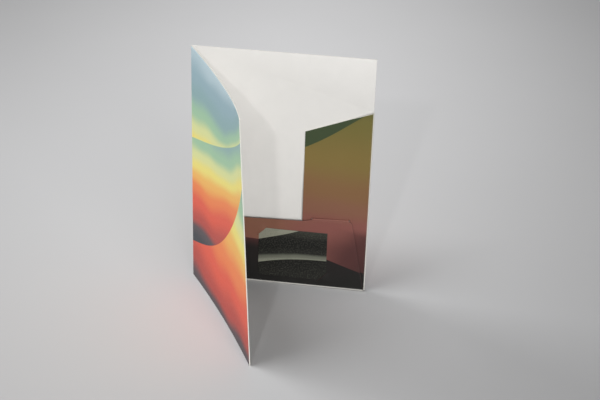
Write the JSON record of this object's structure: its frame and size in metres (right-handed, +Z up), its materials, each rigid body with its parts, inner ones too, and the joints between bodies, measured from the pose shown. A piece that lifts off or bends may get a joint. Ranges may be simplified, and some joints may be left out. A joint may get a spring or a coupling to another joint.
{
  "type": "presentation folder",
  "caption": "A4 board folder standing half open, with a bottom pocket locked by a tab to a tall side flap and a card held in diagonal slits.",
  "frame": {"origin": "on the floor that the folder stands on, at the centre of its outer box", "axes": "+Z up the covers, +X along the back cover from the spine to its outer edge, +Y out of the back cover's outer face"},
  "size_m": [0.22, 0.1992, 0.31],
  "materials": {
    "white_board": "uncoated white board",
    "cover_print": "printed, soft laminated gloss",
    "pocket_print": "dark print, soft laminated gloss",
    "card_print": "dark print, grainy"
  },
  "bodies": {
    "back": {"back_cover": "white_board", "spine_crease": "cover_print", "bottom_crease": "white_board", "side_crease": "white_board", "side_flap": "pocket_print", "pocket_panel": "pocket_print", "locking_tab": "pocket_print", "business_card": "card_print"},
    "front": {"front_cover": "cover_print"}
  },
  "joints": [
    {"name": "cover_hinge", "type": "hinge", "parent": "back", "child": "front", "pos_m": [-0.1082, 0.09784, 0], "axis": [0, 0, -1], "range_deg": [-54.5, 117], "deforming": ["spine_crease"]}
  ]
}
